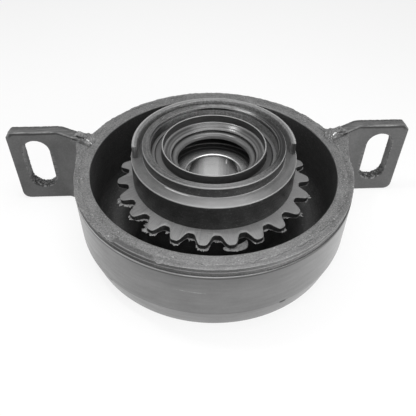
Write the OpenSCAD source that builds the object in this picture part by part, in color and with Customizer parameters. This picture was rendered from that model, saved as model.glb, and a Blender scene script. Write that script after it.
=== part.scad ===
// Driveshaft centre bearing: a rubber-hung ball bearing in a steel ring with two slotted ears.
// The origin is the centre of the bearing bore. +Z is the shaft axis, X runs from ear to ear.

/* [Bearing] */
// Bore of the inner race
bore_d = 30; // [28:0.5:32]
// Width of both races
race_w = 16; // [15.5:0.25:18]
// Diameter of one ball
ball_d = 9.5; // [9:0.1:9.8]
// Number of balls
ball_count = 9; // [8:1:9]
// Metal left under the groove of each race
groove_wall = 3.22; // [3:0.02:3.6]
// Height of each race shoulder above its groove
shoulder_h = 1.9; // [1.6:0.1:2.2]
// Groove radius over ball radius
groove_ratio = 1.04; // [1.02:0.01:1.08]
// Chamfer at the race corners
race_chamfer = 0.6; // [0.3:0.1:1]
// Running gap between ball and groove
ball_gap = 0.03; // [0.02:0.01:0.06]

/* [Cage] */
// Width of the cage ribbon across the shaft
cage_w = 3.2; // [2.6:0.2:3.6]
// Sheet of the cage ribbon
cage_t = 0.8; // [0.6:0.1:1]
// Gap between ball and cage pocket
pocket_gap = 0.15; // [0.1:0.05:0.25]
// Diameter of a rivet shank
rivet_d = 1.4; // [1.2:0.1:1.6]
// Diameter of a rivet head
rivet_head_d = 2.4; // [2.2:0.1:2.6]
// Height of a rivet head
rivet_head_h = 0.6; // [0.4:0.1:0.8]

/* [Bearing seals] */
// Thickness of a bearing seal
shield_t = 1.2; // [1:0.1:1.4]
// Depth of the seal below the race face
shield_inset = 0.5; // [0.3:0.1:0.7]
// Depth of the groove that holds the seal's rim in the outer race
shield_groove = 1; // [0.6:0.1:1.2]
// Running gap between seal lip and inner race
shield_gap = 0.05; // [0.03:0.01:0.08]

/* [Sleeve and dust seals] */
// Wall of the steel sleeve around the bearing
sleeve_wall = 2; // [1.5:0.25:2.5]
// Height from the race face to the end of the sleeve
sleeve_over = 13.4; // [12:0.2:15]
// Sheet of the dust seal case
case_t = 1; // [0.8:0.1:1.2]
// Depth of the case shoulder below the end of the sleeve
case_inset = 0.4; // [0:0.1:1]
// Width of the flat shoulder of the case
case_step = 3.5; // [3:0.25:4.5]
// Height of the upright rim above the case shoulder
case_rim_h = 6; // [5:0.25:7]
// Thickness of each rubber lip
lip_t = 1.3; // [1:0.1:1.6]
// Height of the lip root above the case shoulder's underside
lip_root_h = 3; // [2:0.25:3.5]
// Reach of the outer lip from the case rim
outer_lip_reach = 3.9; // [3.4:0.1:4.2]
// Reach of the inner lip from the case rim
inner_lip_reach = 6.5; // [5.6:0.1:6.6]
// Drop of the outer lip from its root
outer_lip_drop = 3; // [2:0.25:3.5]
// Drop of the inner lip from its root
inner_lip_drop = 6.6; // [6:0.2:7]

/* [Rubber hub] */
// Rubber around the sleeve
hub_wall = 10.4; // [9:0.2:12]
// Height from the race face to the hub flange
hub_over = 13.4; // [12:0.2:15]
// Length of the hub below the race face
hub_under = 17; // [15:0.5:18]
// Wall of the collar around the sleeve's end
collar_wall = 4.3; // [3.5:0.1:5.5]
// Height of the collar above the hub flange
collar_h = 6.1; // [4:0.1:8]
// Wall of the half-moon lip
moon_wall = 2.6; // [2:0.1:3.5]
// Height of the half-moon lip above the hub flange
moon_h = 7.1; // [5:0.1:9]
// Step from the hub's rounded edge to the half-moon lip
moon_step = 0.3; // [0.2:0.1:0.8]
// Angle that the half-moon lip covers
moon_angle = 192; // [150:1:220]
// Rounding of the hub's top edges
hub_round = 0.6; // [0.3:0.1:1]

/* [Toothed snubber] */
// Number of teeth
tooth_count = 23; // [18:1:28]
// Reach of the tooth tips from the hub wall
tooth_reach = 8.7; // [7:0.1:10]
// Depth of the valleys between the teeth
tooth_depth = 5.8; // [4:0.1:6.2]
// Depth of the tooth face below the hub flange, at the hub wall
tooth_below = 14.7; // [12:0.1:17]
// Fall of the tooth face from the hub wall to the tips
tooth_fall = 1.8; // [1:0.1:3]
// Thickness of the teeth
tooth_t = 3; // [2:0.1:4]
// Angle of the first tooth
tooth_phase = 167.1; // [160:0.1:175]

/* [Ring] */
// Outer diameter of the steel band
band_d = 148.4; // [146:0.2:154]
// Sheet of the steel band
band_t = 2.5; // [2:0.1:3]
// Height of the rubber rim above the race face
rim_over = 5.5; // [4:0.1:7]
// Height of the rubber rim above the band
rim_stand = 5; // [4:0.1:6]
// Straight height of the band
band_straight_h = 27; // [24:0.5:30]
// Height from the straight wall to the base
band_taper_h = 16; // [14:0.5:18]
// Lean of the lower wall
band_lean = 15; // [10:1:18]
// Outer radius where the lower wall turns into the base
base_corner_r = 6; // [5:0.25:7]
// Width of the flat base
base_w = 3.3; // [2.5:0.1:4.5]
// Rubber lining between band and trough
lining_t = 6.2; // [5:0.1:7]
// Step of the rubber rim behind the band's face
rim_step = 0.6; // [0.4:0.1:1]
// Rounding of the rim's edges
rim_round = 0.9; // [0.5:0.1:1.5]
// Thickness of the rubber under the trough
web_t = 5; // [4:0.25:5.5]
// Depth of the trough below the race's lower face
trough_under = 18; // [16:0.5:18.5]

/* [Ears] */
// Distance between the slot centres
slot_spacing = 205.4; // [200:0.2:212]
// Width of a slot
slot_w = 15.4; // [13:0.2:17]
// End-to-end length of a slot
slot_l = 33.8; // [28:0.2:36]
// Metal between a slot and the ear's outer end
ear_margin = 7.6; // [6:0.2:10]
// Metal between a slot and the bend
bend_margin = 5.4; // [4:0.2:7]
// Thickness of the ear plate
ear_t = 6.7; // [5:0.1:8]
// Distance from the shaft axis to the ear's front face
ear_offset = 30.1; // [26:0.1:34]
// Metal above a slot
ear_above = 6.1; // [5:0.1:8]
// Metal below a slot
ear_below = 9.1; // [7:0.1:10]
// Height of the ear's top above the rubber rim
ear_rise = 1.5; // [0:0.1:3]
// Angle of the bend
bend_angle = 31; // [25:1:36]
// Inner radius of the bend
bend_r = 4; // [2:0.5:6]
// Rounding of the ear's lower outer corner
ear_round = 5; // [3:0.5:7]
// Rounding of the ear's lower corner beside the ring
leg_round = 6; // [3:0.5:8]
// Chamfer at the ear's upper outer corner
ear_chamfer = 3; // [2:0.5:4]
// Radius of the front weld bead
front_bead_r = 4.5; // [3:0.5:6]
// Radius of the back weld bead
back_bead_r = 5.5; // [4:0.5:7]
// Length of the weld beads
bead_l = 32; // [24:1:36]

/* [Hidden] */
$fn = 96;
// Overlap that lets one cut run clear of another face
eps = 0.5;
// Steps in one rounded edge
arc_steps = 6;

// Bearing
race_z = race_w / 2;
bore_r = bore_d / 2;
ball_r = ball_d / 2;
groove_r = ball_r * groove_ratio;
inner_groove_r = bore_r + groove_wall;
inner_race_r = inner_groove_r + shoulder_h;
pitch_r = inner_groove_r + ball_gap + ball_r;
outer_groove_r = pitch_r + ball_r + ball_gap;
outer_shoulder_r = outer_groove_r - shoulder_h;
outer_race_r = outer_groove_r + groove_wall;
ball_step = 360 / ball_count;
pocket_r = ball_r + pocket_gap;
shield_r = outer_shoulder_r + shield_groove;
shield_top_z = race_z - shield_inset;

// Sleeve and dust seals
sleeve_r = outer_race_r + sleeve_wall;
sleeve_z = race_z + sleeve_over;
case_top_z = sleeve_z - case_inset;
case_rim_r = outer_race_r - case_step;
case_rim_in_r = case_rim_r - case_t;
case_floor_z = case_top_z - case_t;
case_rim_z = case_top_z + case_rim_h;
lip_root_z = case_floor_z + lip_root_h;

// Rubber hub and snubber
hub_r = sleeve_r + hub_wall;
hub_top_z = race_z + hub_over;
hub_low_z = -race_z - hub_under;
collar_r = sleeve_r + collar_wall;
collar_z = hub_top_z + collar_h;
moon_r = hub_r - hub_round - moon_step;
tooth_tip_r = hub_r + tooth_reach;
tooth_mid_r = tooth_tip_r - tooth_depth / 2;
tooth_foot_z = hub_top_z - tooth_below;
tooth_tip_z = tooth_foot_z - tooth_fall;
tooth_slope = tooth_fall / tooth_reach;
// Points along one tooth of the wavy outline
tooth_points = 16;

// Ring
band_r = band_d / 2;
band_in_r = band_r - band_t;
rim_z = race_z + rim_over;
band_top_z = rim_z - rim_stand;
taper_z = band_top_z - band_straight_h;
base_z = taper_z - band_taper_h;
corner_z = base_z + base_corner_r;
corner_cr = band_r - (taper_z - corner_z) * tan(band_lean) - base_corner_r / cos(band_lean);
base_in_r = corner_cr - base_w;
lining_r = band_in_r - lining_t;
rim_r = band_r - rim_step;
trough_mid_r = (hub_r + lining_r) / 2;
trough_r = (lining_r - hub_r) / 2;
trough_z = -race_z - trough_under + trough_r;
web_r = trough_r + web_t;

// Ears
slot_x = slot_spacing / 2;
ear_top_z = rim_z + ear_rise;
slot_top_z = ear_top_z - ear_above;
slot_z = slot_top_z - slot_l / 2;
ear_low_z = slot_top_z - slot_l - ear_below;
ear_h = ear_top_z - ear_low_z;
ear_end_x = slot_x + slot_w / 2 + ear_margin;
bend_x = slot_x - slot_w / 2 - bend_margin;
bend_y = ear_offset - bend_r;
bead_z = band_top_z - bead_l;
// Where the sloping leg's faces leave the bend
leg_dx = sin(bend_angle);
leg_dy = cos(bend_angle);
front_leg_x = bend_x - bend_r * leg_dx;
front_leg_y = bend_y + bend_r * leg_dy;
back_leg_x = bend_x - (bend_r + ear_t) * leg_dx;
back_leg_y = bend_y + (bend_r + ear_t) * leg_dy;
// Distance along a leg face from the bend to the band
function leg_run(x, y) =
    let (b = x * leg_dy + y * leg_dx, c = x * x + y * y - band_r * band_r)
    b - sqrt(b * b - c);
// Point at a distance along the sloping leg
function along_leg(x, y, run) = [x - run * leg_dy, y - run * leg_dx];
front_run = leg_run(front_leg_x, front_leg_y);
back_run = leg_run(back_leg_x, back_leg_y);
front_corner = along_leg(front_leg_x, front_leg_y, front_run);
back_corner = along_leg(back_leg_x, back_leg_y, back_run);
leg_l = max(front_run, back_run) + ear_t;

// Points on an arc about (x, y), from angle a to angle b
function arc(x, y, r, a, b, n = arc_steps) =
    [for (i = [0:n]) let (t = a + (b - a) * i / n) [x + r * cos(t), y + r * sin(t)]];

// Outline of the wavy snubber at an angle
function tooth_wave(a) =
    tooth_mid_r + tooth_depth / 2 * sin(90 * cos(tooth_count * (a - tooth_phase)));

// A ring cut from a rectangle between two radii and two heights
module ring(r_in, r_out, z_low, z_high) {
    translate([0, 0, z_low])
        difference() {
            cylinder(r = r_out, h = z_high - z_low);
            translate([0, 0, -eps])
                cylinder(r = r_in, h = z_high - z_low + 2 * eps);
        }
}

// The lower half of a pair is the upper half turned over
module flipped() {
    mirror([0, 0, 1])
        children();
}

// Outside of the band, filled to the axis, for the band itself and for trimming the ears
module band_outline() {
    polygon(concat(
        [[0, base_z]],
        arc(corner_cr, corner_z, base_corner_r, -90, -band_lean),
        [[band_r, taper_z], [band_r, band_top_z], [0, band_top_z]]
    ));
}

// Inside of the band, which the rubber lining follows
function band_inside() =
    concat(
        [[base_in_r, base_z + band_t]],
        arc(corner_cr, corner_z, base_corner_r - band_t, -90, -band_lean),
        [[band_in_r, taper_z - band_t * tan(band_lean / 2)], [band_in_r, band_top_z]]
    );

module outer_band() {
    color([0.44, 0.45, 0.46])
        rotate_extrude()
            difference() {
                band_outline();
                polygon(concat(
                    [[0, base_z - eps], [base_in_r, base_z - eps]],
                    band_inside(),
                    [[band_in_r, band_top_z + eps], [0, band_top_z + eps]]
                ));
            }
}

// Ear seen from above: a straight leg, the bend and a sloping leg that runs into the ring
module ear_plan() {
    polygon(concat(
        [[ear_end_x, ear_offset], [ear_end_x, ear_offset + ear_t]],
        arc(bend_x, bend_y, bend_r + ear_t, 90, 90 + bend_angle),
        [along_leg(back_leg_x, back_leg_y, leg_l), along_leg(front_leg_x, front_leg_y, leg_l)],
        arc(bend_x, bend_y, bend_r, 90 + bend_angle, 90)
    ));
}

// Ear seen from the front, with its rounded lower corners and its upper chamfer
module ear_elevation() {
    polygon(concat(
        [[0, ear_top_z], [0, ear_low_z + leg_round]],
        arc(front_corner.x + leg_round, ear_low_z + leg_round, leg_round, 180, 270),
        arc(ear_end_x - ear_round, ear_low_z + ear_round, ear_round, -90, 0),
        [[ear_end_x, ear_top_z - ear_chamfer], [ear_end_x - ear_chamfer, ear_top_z]]
    ));
}

module right_ear_solid() {
    difference() {
        intersection() {
            translate([0, 0, ear_low_z - eps])
                linear_extrude(ear_h + 2 * eps)
                    ear_plan();
            translate([0, ear_offset + ear_t + eps, 0])
                rotate([90, 0, 0])
                    linear_extrude(ear_offset + ear_t + 2 * eps)
                        ear_elevation();
        }
        // Room for the ring
        rotate_extrude()
            band_outline();
        translate([0, 0, band_top_z - eps])
            cylinder(r = band_r, h = ear_top_z - band_top_z + 2 * eps);
        // Slot
        for (end = [-1, 1])
            translate([slot_x, ear_offset - eps, slot_z + end * (slot_l - slot_w) / 2])
                rotate([-90, 0, 0])
                    cylinder(d = slot_w, h = ear_t + 2 * eps);
        translate([slot_x - slot_w / 2, ear_offset - eps, slot_z - (slot_l - slot_w) / 2])
            cube([slot_w, ear_t + 2 * eps, slot_l - slot_w]);
    }
}

// Round bars laid in the corners between ear and band, trimmed to what fills the corners
module right_weld_solid() {
    difference() {
        union() {
            translate([front_corner.x, front_corner.y, bead_z])
                cylinder(r = front_bead_r, h = bead_l);
            translate([back_corner.x, back_corner.y, bead_z])
                cylinder(r = back_bead_r, h = bead_l);
        }
        rotate_extrude()
            band_outline();
        translate([0, 0, bead_z - eps])
            linear_extrude(bead_l + 2 * eps)
                ear_plan();
    }
}

module right_ear() {
    color([0.40, 0.40, 0.41])
        right_ear_solid();
}

module left_ear() {
    color([0.40, 0.40, 0.41])
        mirror([1, 0, 0])
            right_ear_solid();
}

module right_ear_weld() {
    color([0.36, 0.36, 0.36])
        right_weld_solid();
}

module left_ear_weld() {
    color([0.36, 0.36, 0.36])
        mirror([1, 0, 0])
            right_weld_solid();
}

// Section of the rubber: hub, trough and rim in one moulding
module cushion_section() {
    web_start = 180 + asin((trough_z - hub_low_z) / web_r);
    web_end = 360 - acos((base_in_r - trough_mid_r) / web_r);
    polygon(concat(
        [[sleeve_r, hub_low_z]],
        arc(trough_mid_r, trough_z, web_r, web_start, web_end, 3 * arc_steps),
        band_inside(),
        [[rim_r, band_top_z]],
        arc(rim_r - rim_round, rim_z - rim_round, rim_round, 0, 90),
        arc(lining_r + rim_round, rim_z - rim_round, rim_round, 90, 180),
        arc(trough_mid_r, trough_z, trough_r, 360, 180, 4 * arc_steps),
        arc(hub_r - hub_round, hub_top_z - hub_round, hub_round, 0, 90),
        [[collar_r, hub_top_z]],
        arc(collar_r - hub_round, collar_z - hub_round, hub_round, 0, 90),
        arc(sleeve_r + hub_round, collar_z - hub_round, hub_round, 90, 180)
    ));
}

module snubber_teeth() {
    steps = tooth_count * tooth_points;
    intersection() {
        translate([0, 0, tooth_tip_z - tooth_t - eps])
            linear_extrude(tooth_fall + tooth_t + collar_wall)
                polygon([for (i = [0:steps - 1])
                    let (a = 360 * i / steps, r = tooth_wave(a)) [r * cos(a), r * sin(a)]]);
        rotate_extrude()
            polygon([
                [hub_r - collar_wall, tooth_tip_z - tooth_t],
                [tooth_tip_r + eps, tooth_tip_z - tooth_t],
                [tooth_tip_r + eps, tooth_tip_z - tooth_slope * eps],
                [hub_r - collar_wall, tooth_foot_z + tooth_slope * collar_wall]
            ]);
    }
}

module half_moon_lip() {
    translate([0, 0, hub_top_z - eps])
        rotate([0, 0, 90 - moon_angle / 2])
            rotate_extrude(angle = moon_angle)
                translate([moon_r - moon_wall, 0])
                    square([moon_wall, moon_h + eps]);
}

module rubber_cushion() {
    color([0.30, 0.30, 0.31])
        union() {
            rotate_extrude()
                cushion_section();
            snubber_teeth();
            half_moon_lip();
        }
}

module bearing_sleeve() {
    color([0.55, 0.56, 0.57])
        ring(outer_race_r, sleeve_r, -sleeve_z, sleeve_z);
}

// Pressed case: a wall in the sleeve, a flat shoulder and an upright rim
module seal_case() {
    rotate_extrude()
        polygon([
            [outer_race_r - case_t, race_z],
            [outer_race_r, race_z],
            [outer_race_r, case_top_z],
            [case_rim_r, case_top_z],
            [case_rim_r, case_rim_z],
            [case_rim_in_r, case_rim_z],
            [case_rim_in_r, case_floor_z],
            [outer_race_r - case_t, case_floor_z]
        ]);
}

// Two sloping rubber lips on one root that is bonded inside the case rim
module seal_lip() {
    outer_tip_r = case_rim_in_r - outer_lip_reach;
    inner_tip_r = case_rim_in_r - inner_lip_reach;
    fork_r = case_rim_in_r - lip_t;
    rotate_extrude()
        polygon([
            [case_rim_in_r, lip_root_z],
            [outer_tip_r, lip_root_z - outer_lip_drop],
            [outer_tip_r, lip_root_z - outer_lip_drop - lip_t / 2],
            [fork_r, lip_root_z - 2 * lip_t],
            [inner_tip_r, lip_root_z - inner_lip_drop],
            [inner_tip_r, lip_root_z - inner_lip_drop - lip_t / 2],
            [fork_r, case_floor_z - lip_t],
            [case_rim_in_r, case_floor_z - lip_t]
        ]);
}

module upper_seal_case() {
    color([0.58, 0.59, 0.60])
        seal_case();
}

module lower_seal_case() {
    color([0.58, 0.59, 0.60])
        flipped()
            seal_case();
}

module upper_seal_lip() {
    color([0.25, 0.25, 0.26])
        seal_lip();
}

module lower_seal_lip() {
    color([0.25, 0.25, 0.26])
        flipped()
            seal_lip();
}

// A ring with chamfered corners, before its groove is cut
module race_blank(r_in, r_out) {
    c = race_chamfer;
    rotate_extrude()
        polygon([
            [r_in + c, -race_z], [r_out - c, -race_z], [r_out, -race_z + c], [r_out, race_z - c],
            [r_out - c, race_z], [r_in + c, race_z], [r_in, race_z - c], [r_in, -race_z + c]
        ]);
}

module bearing_inner_race() {
    color([0.72, 0.72, 0.73])
        difference() {
            race_blank(bore_r, inner_race_r);
            rotate_extrude()
                translate([inner_groove_r + groove_r, 0])
                    circle(r = groove_r);
        }
}

module bearing_outer_race() {
    color([0.68, 0.68, 0.69])
        difference() {
            race_blank(outer_shoulder_r, outer_race_r);
            rotate_extrude()
                translate([outer_groove_r - groove_r, 0])
                    circle(r = groove_r);
            for (side = [-1, 1])
                translate([0, 0, side * (shield_top_z - shield_t / 2) - shield_t / 2])
                    cylinder(r = shield_r, h = shield_t);
        }
}

module ball(i) {
    color([0.78, 0.78, 0.80])
        rotate([0, 0, (i - 1) * ball_step])
            translate([pitch_r, 0, 0])
                sphere(r = ball_r);
}

// Upper half of the ribbon: flat tabs between the pockets, domes over the balls
module cage_half() {
    intersection() {
        difference() {
            union() {
                ring(pitch_r - cage_w / 2 - eps, pitch_r + cage_w / 2 + eps, 0, cage_t);
                for (i = [0:ball_count - 1])
                    rotate([0, 0, i * ball_step])
                        translate([pitch_r, 0, 0])
                            sphere(r = pocket_r + cage_t);
            }
            for (i = [0:ball_count - 1])
                rotate([0, 0, i * ball_step])
                    translate([pitch_r, 0, 0])
                        sphere(r = pocket_r);
            for (i = [0:ball_count - 1])
                rotate([0, 0, (i + 0.5) * ball_step])
                    translate([pitch_r, 0, -eps])
                        cylinder(d = rivet_d, h = cage_t + 2 * eps);
        }
        ring(pitch_r - cage_w / 2, pitch_r + cage_w / 2, 0, race_z);
    }
}

module upper_cage_half() {
    color([0.60, 0.58, 0.50])
        cage_half();
}

module lower_cage_half() {
    color([0.60, 0.58, 0.50])
        flipped()
            cage_half();
}

module cage_rivets() {
    color([0.62, 0.60, 0.55])
        for (i = [0:ball_count - 1])
            rotate([0, 0, (i + 0.5) * ball_step])
                translate([pitch_r, 0, 0]) {
                    translate([0, 0, -cage_t])
                        cylinder(d = rivet_d, h = 2 * cage_t);
                    translate([0, 0, cage_t])
                        cylinder(d = rivet_head_d, h = rivet_head_h);
                    translate([0, 0, -cage_t - rivet_head_h])
                        cylinder(d = rivet_head_d, h = rivet_head_h);
                }
}

// Flat rubber seal, held by its rim in the outer race
module bearing_seal() {
    ring(inner_race_r + shield_gap, shield_r, shield_top_z - shield_t, shield_top_z);
}

module upper_bearing_seal() {
    color([0.16, 0.16, 0.17])
        bearing_seal();
}

module lower_bearing_seal() {
    color([0.16, 0.16, 0.17])
        flipped()
            bearing_seal();
}

outer_band();
left_ear();
right_ear();
left_ear_weld();
right_ear_weld();
rubber_cushion();
bearing_sleeve();
upper_seal_case();
upper_seal_lip();
lower_seal_case();
lower_seal_lip();
bearing_outer_race();
bearing_inner_race();
for (i = [1:ball_count])
    ball(i);
upper_cage_half();
lower_cage_half();
cage_rivets();
upper_bearing_seal();
lower_bearing_seal();
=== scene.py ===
"""Looks of a driveshaft centre bearing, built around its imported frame. Sizes are in millimetres."""

import math

import bmesh
import bpy
import numpy as np
from mathutils import Matrix, Vector


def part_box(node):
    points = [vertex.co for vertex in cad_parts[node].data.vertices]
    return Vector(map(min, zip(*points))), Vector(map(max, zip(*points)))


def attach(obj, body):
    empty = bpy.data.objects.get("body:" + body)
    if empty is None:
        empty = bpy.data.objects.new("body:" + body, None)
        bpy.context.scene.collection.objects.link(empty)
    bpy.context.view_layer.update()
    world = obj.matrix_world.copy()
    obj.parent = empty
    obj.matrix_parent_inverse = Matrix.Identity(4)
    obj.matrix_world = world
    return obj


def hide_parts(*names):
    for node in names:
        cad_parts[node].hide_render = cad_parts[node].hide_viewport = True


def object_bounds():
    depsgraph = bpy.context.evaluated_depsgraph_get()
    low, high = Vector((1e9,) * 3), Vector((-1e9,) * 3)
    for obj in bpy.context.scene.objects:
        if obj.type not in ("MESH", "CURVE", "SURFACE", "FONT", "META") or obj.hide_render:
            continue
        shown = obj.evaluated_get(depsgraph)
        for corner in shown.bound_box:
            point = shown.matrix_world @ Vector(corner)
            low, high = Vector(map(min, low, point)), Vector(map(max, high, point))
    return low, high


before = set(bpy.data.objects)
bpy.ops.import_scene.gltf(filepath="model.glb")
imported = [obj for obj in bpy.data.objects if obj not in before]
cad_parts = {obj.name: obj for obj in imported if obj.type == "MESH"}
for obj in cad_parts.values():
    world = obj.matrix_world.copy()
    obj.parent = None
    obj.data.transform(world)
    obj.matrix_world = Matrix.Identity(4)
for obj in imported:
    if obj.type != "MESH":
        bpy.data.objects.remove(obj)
cad_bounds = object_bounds()

MM = 0.001
TURN = 2 * math.pi

# Photograph's frame and the camera that was fitted to it
FRAME_PX = 416
FOCAL_PX = 491.4
SENSOR_W = 36
CAMERA_AT = (-14.9, -208.7, 175.9)
CAMERA_YAW = 3.34
CAMERA_PITCH = 43.05
CAMERA_ROLL = 0.73


def node_box(name):
    """Lowest and highest corner of a CAD node, in millimetres."""
    low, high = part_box(name)
    return low / MM, high / MM


# Sizes that the frame gives
band_low, band_high = node_box("outer_band")
sleeve_low, sleeve_high = node_box("bearing_sleeve")
case_low, case_high = node_box("upper_seal_case")
lip_low, lip_high = node_box("upper_seal_lip")
race_low, race_high = node_box("bearing_inner_race")
shield_low, shield_high = node_box("upper_bearing_seal")
ear_low, ear_high = node_box("right_ear")
rubber_high = node_box("rubber_cushion")[1]

# Steel ring
BAND_R = band_high.x
BAND_T = 2.5
BAND_TOP = band_high.z
BAND_LEAN = 15
BAND_SLOPE = math.tan(math.radians(BAND_LEAN))
BASE_Z = band_low.z
BASE_CORNER_R = 6
BASE_W = 3.3
TAPER_Z = BAND_TOP - 27
CORNER_Z = BASE_Z + BASE_CORNER_R
CORNER_AT = BAND_R - (TAPER_Z - CORNER_Z) * BAND_SLOPE - BASE_CORNER_R / math.cos(math.radians(BAND_LEAN))
BAND_IN_R = BAND_R - BAND_T
BASE_IN_R = CORNER_AT - BASE_W

# Marks on the ring's front: headings in degrees and heights above the taper, each from, to and softness,
# and how far the scratch climbs to its left for each degree
SPOT = ((-67.2, -65, 0.4), (-1.3, 0.1, 0.3))
NICK = ((-139, -136.2, 0.5), (-1.1, -0.4, 0.3))
SCRATCH = ((-106.7, -96.1, 0.8), (8.05, 8.3, 0.2))
SCRATCH_CLIMB = 0.075

# Rubber moulding
RIM_TOP = BAND_TOP + 5
RIM_R = rubber_high.x
CRACK_R = RIM_R - 2.6
TORN_R = RIM_R - 3
LINING_R = BAND_IN_R - 6.2
SLEEVE_R = sleeve_high.x
HUB_R = SLEEVE_R + 10.4
HUB_TOP = sleeve_high.z
HUB_LOW = race_low.z - 17
COLLAR_R = SLEEVE_R + 4.3
COLLAR_TOP = HUB_TOP + 6.1
MOON_TOP = rubber_high.z
MOON_R = HUB_R - 0.9
MOON_WALL = 2.6
MOON_ANGLE = 192
TROUGH_AT = (HUB_R + LINING_R) / 2
TROUGH_R = (LINING_R - HUB_R) / 2
TROUGH_Z = race_low.z - 18 + TROUGH_R
WEB_R = TROUGH_R + 5

# Snubber teeth
TOOTH_COUNT = 23
TOOTH_PHASE = 167.1
TOOTH_TIP_R = HUB_R + 8.7
TOOTH_DEPTH = 5.8
TOOTH_FOOT_Z = HUB_TOP - 14.7
TOOTH_FALL = 1.8
TOOTH_T = 3
TOOTH_LOW = TOOTH_FOOT_Z - TOOTH_FALL - TOOTH_T
FLASH_Z = TOOTH_LOW + 0.1

# Flakes of flash on the teeth's lower edge: heading and half width in degrees, reach
FLAKES = (
    (-162, 3.5, 1.7), (-156, 3.5, 1.4), (-147, 2.5, 1.1), (-140, 3.5, 1.3), (-133.5, 3, 2.6),
    (-128.5, 2, 1.2), (-122, 1.4, 1.3), (-114.5, 3.2, 0.8), (-106.5, 2.6, 1.3), (-99, 4, 1.3),
    (-90.5, 2.8, 1.4), (-67.5, 4, 0.8), (-59, 2.8, 1), (-51.5, 2.4, 0.9), (-42, 1.6, 1), (-34, 2.3, 2),
    (-22, 1.5, 0.6), (-18, 2, 1.7),
)

# Large flap of flash: heading in degrees, outer and inner edge beyond the teeth's tips
FLAP = (
    (-88, -0.5, -0.9), (-87.4, 0.7, -1.1), (-85, 1.4, -1.6), (-81, 1.9, -1.6), (-78, 1.5, -2.1),
    (-76.2, 1.1, -2.6), (-75, 0.5, -3.1), (-74.2, -0.7, -3.5), (-73.7, -2.1, -3.5),
)

# Light stretches of the bore, painted reflections: how many, and one's heading in degrees
BORE_STRETCHES = 4
BORE_LIGHT_AT = 90

# Ears
EAR_T = 6.7
EAR_TOP = ear_high.z
EAR_LOW = ear_low.z
EAR_END = ear_high.x
EAR_BEVEL = 3
EAR_ROUND = 0.6
EAR_BACK_ROUND = 0.45
SLOT_W = 15.4
SLOT_L = 33.8
SLOT_X = EAR_END - 7.6 - SLOT_W / 2
SLOT_Z = EAR_TOP - 6.1 - SLOT_L / 2
BEND_R = 4
BEND_X = SLOT_X - SLOT_W / 2 - 5.4
BEND_Y = ear_high.y - EAR_T - BEND_R
BEND_ANGLE = math.radians(31)
BEND_MID_R = BEND_R + EAR_T / 2
BEND_RUN = BEND_MID_R * BEND_ANGLE

# Where ear and rim meet: end of the rubber web on the ear and its heading on the rim in degrees,
# then lines on the leg's top, each two points along and across the leg, and half its width
WEB_ENDS = {"right": (-12.5, -1), "left": (-17, 2.5)}
# The gap line's dip is painted black as shadow
LEG_GAP = {"right": ((-19.5, 1.4), (-15, -0.2), 1.2), "left": ((-20, 1.5), (-13.5, 0.4), 1.9)}
LEG_FLAKE = {"right": ((-25, 1.6), (-20.5, 2.6), 0.55), "left": ((-26.5, 1.7), (-21.5, 2.1), 0.5)}


def ring_noise(angles, nodes, seed):
    """Smooth random values from -1 to 1 that close on themselves after a turn."""
    values = np.random.default_rng(seed).uniform(-1, 1, nodes)
    place = np.asarray(angles, float) / TURN % 1 * nodes
    low = np.floor(place).astype(int)
    share = place - low
    share = share * share * (3 - 2 * share)
    return values[low % nodes] * (1 - share) + values[(low + 1) % nodes] * share


def field_noise(u, v, seed):
    """Smooth random values from -1 to 1 over a plane, one cell per unit."""
    cells = 64
    values = np.random.default_rng(seed).uniform(-1, 1, (cells, cells))
    u, v = np.broadcast_arrays(np.asarray(u, float), np.asarray(v, float))
    i, j = np.floor(u).astype(int), np.floor(v).astype(int)
    a, b = u - i, v - j
    a, b = a * a * (3 - 2 * a), b * b * (3 - 2 * b)
    near, far = (values[k % cells, j % cells] * (1 - b) + values[k % cells, (j + 1) % cells] * b
                 for k in (i, i + 1))
    return near * (1 - a) + far * a


def step_up(low, high, x):
    """0 below low, 1 above high, smooth between."""
    t = np.clip((np.asarray(x, float) - low) / (high - low), 0, 1)
    return t * t * (3 - 2 * t)


def heading_vector(angle):
    """Plan direction at an angle."""
    return np.array([math.cos(angle), math.sin(angle)])


def bezier(start, corner, end, t):
    """Point on the curve that a corner pulls out of a straight line."""
    return start * (1 - t) ** 2 + corner * 2 * t * (1 - t) + end * t ** 2


def arc(x, y, radius, start, end, steps=8):
    """Points on an arc, from one angle to another in degrees."""
    return [(x + radius * math.cos(t), y + radius * math.sin(t))
            for t in np.radians(np.linspace(start, end, steps + 1))]


def rounded(points, radii, steps=4):
    """Closed outline with each corner turned into a curve. radii is one number, or one per point."""
    points = [Vector(p) for p in points]
    radii = [radii] * len(points) if np.isscalar(radii) else radii
    made = []
    for k, (corner, radius) in enumerate(zip(points, radii)):
        before = points[k - 1] - corner
        after = points[(k + 1) % len(points)] - corner
        reach = min(radius, 0.49 * before.length, 0.49 * after.length)
        start = corner + before.normalized() * reach
        end = corner + after.normalized() * reach
        made += [tuple(bezier(start, corner, end, t)) for t in np.linspace(0, 1, steps + 1)]
    return made


def resampled(points, step):
    """Closed outline with extra points, so that no two are further apart than step."""
    made = []
    for a, b in zip(points, points[1:] + points[:1]):
        count = max(1, math.ceil(math.dist(a, b) / step))
        made += [tuple(np.add(a, np.subtract(b, a) * k / count)) for k in range(count)]
    return made


def full_turn(segments):
    """Angles of a full turn."""
    return np.linspace(0, TURN, segments, endpoint=False)


def turned(angles, r, z):
    """Points at angles, radii and heights around the axis."""
    return np.stack(np.broadcast_arrays(r * np.cos(angles), r * np.sin(angles), z), -1)


def swept(angles, section):
    """Rings of a section around the axis. Its radii and heights may differ from angle to angle."""
    angles = angles[:, None]
    r, z = (np.hstack([point[k] + 0 * angles for point in section]) for k in (0, 1))
    return turned(angles, r, z)


def lathe(profile, segments):
    """Rings of a turned shape."""
    return turned(full_turn(segments)[:, None], *np.array(profile, float).T)


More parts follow.
